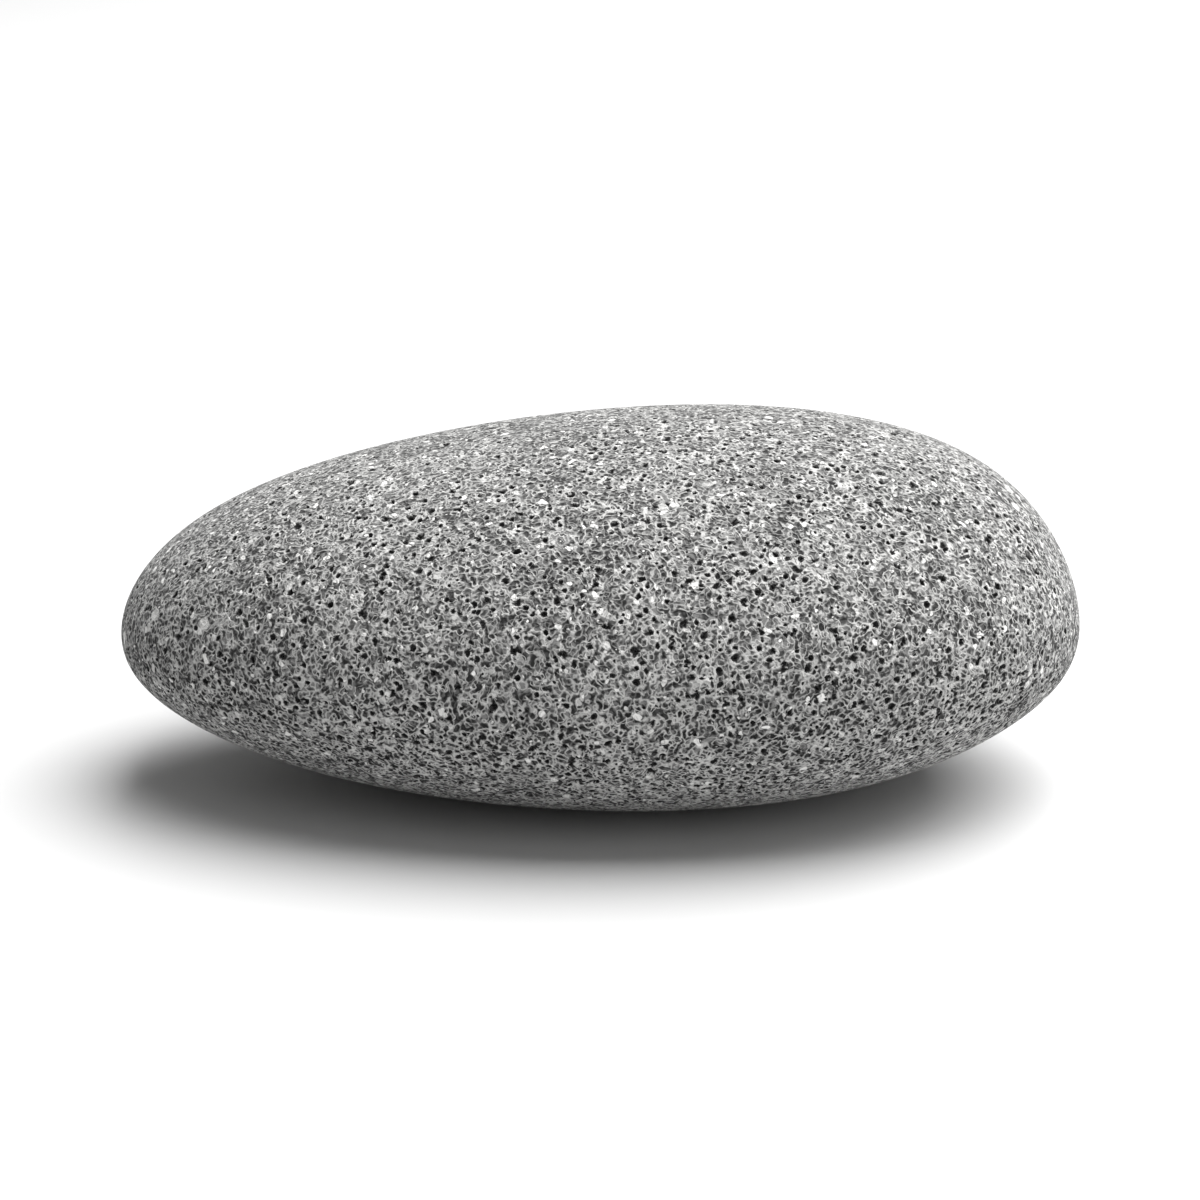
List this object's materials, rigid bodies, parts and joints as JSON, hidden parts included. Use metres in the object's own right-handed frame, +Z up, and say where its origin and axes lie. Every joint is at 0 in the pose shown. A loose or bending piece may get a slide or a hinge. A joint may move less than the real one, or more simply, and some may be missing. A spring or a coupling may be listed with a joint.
{
  "type": "aquarium rock",
  "caption": "Egg-shaped tumbled lava pebble with a finely pitted surface, lying flat as hardscape on the floor of a fish tank.",
  "frame": {"origin": "on the surface that the stone lies on, under the centre of its box", "axes": "+X is the long axis towards the thick end, -Y faces the viewer, +Z is up"},
  "size_m": [0.1096, 0.0674, 0.0429],
  "materials": {
    "lava": "matte"
  },
  "bodies": {
    "root": {"stone": "lava"}
  },
  "joints": []
}
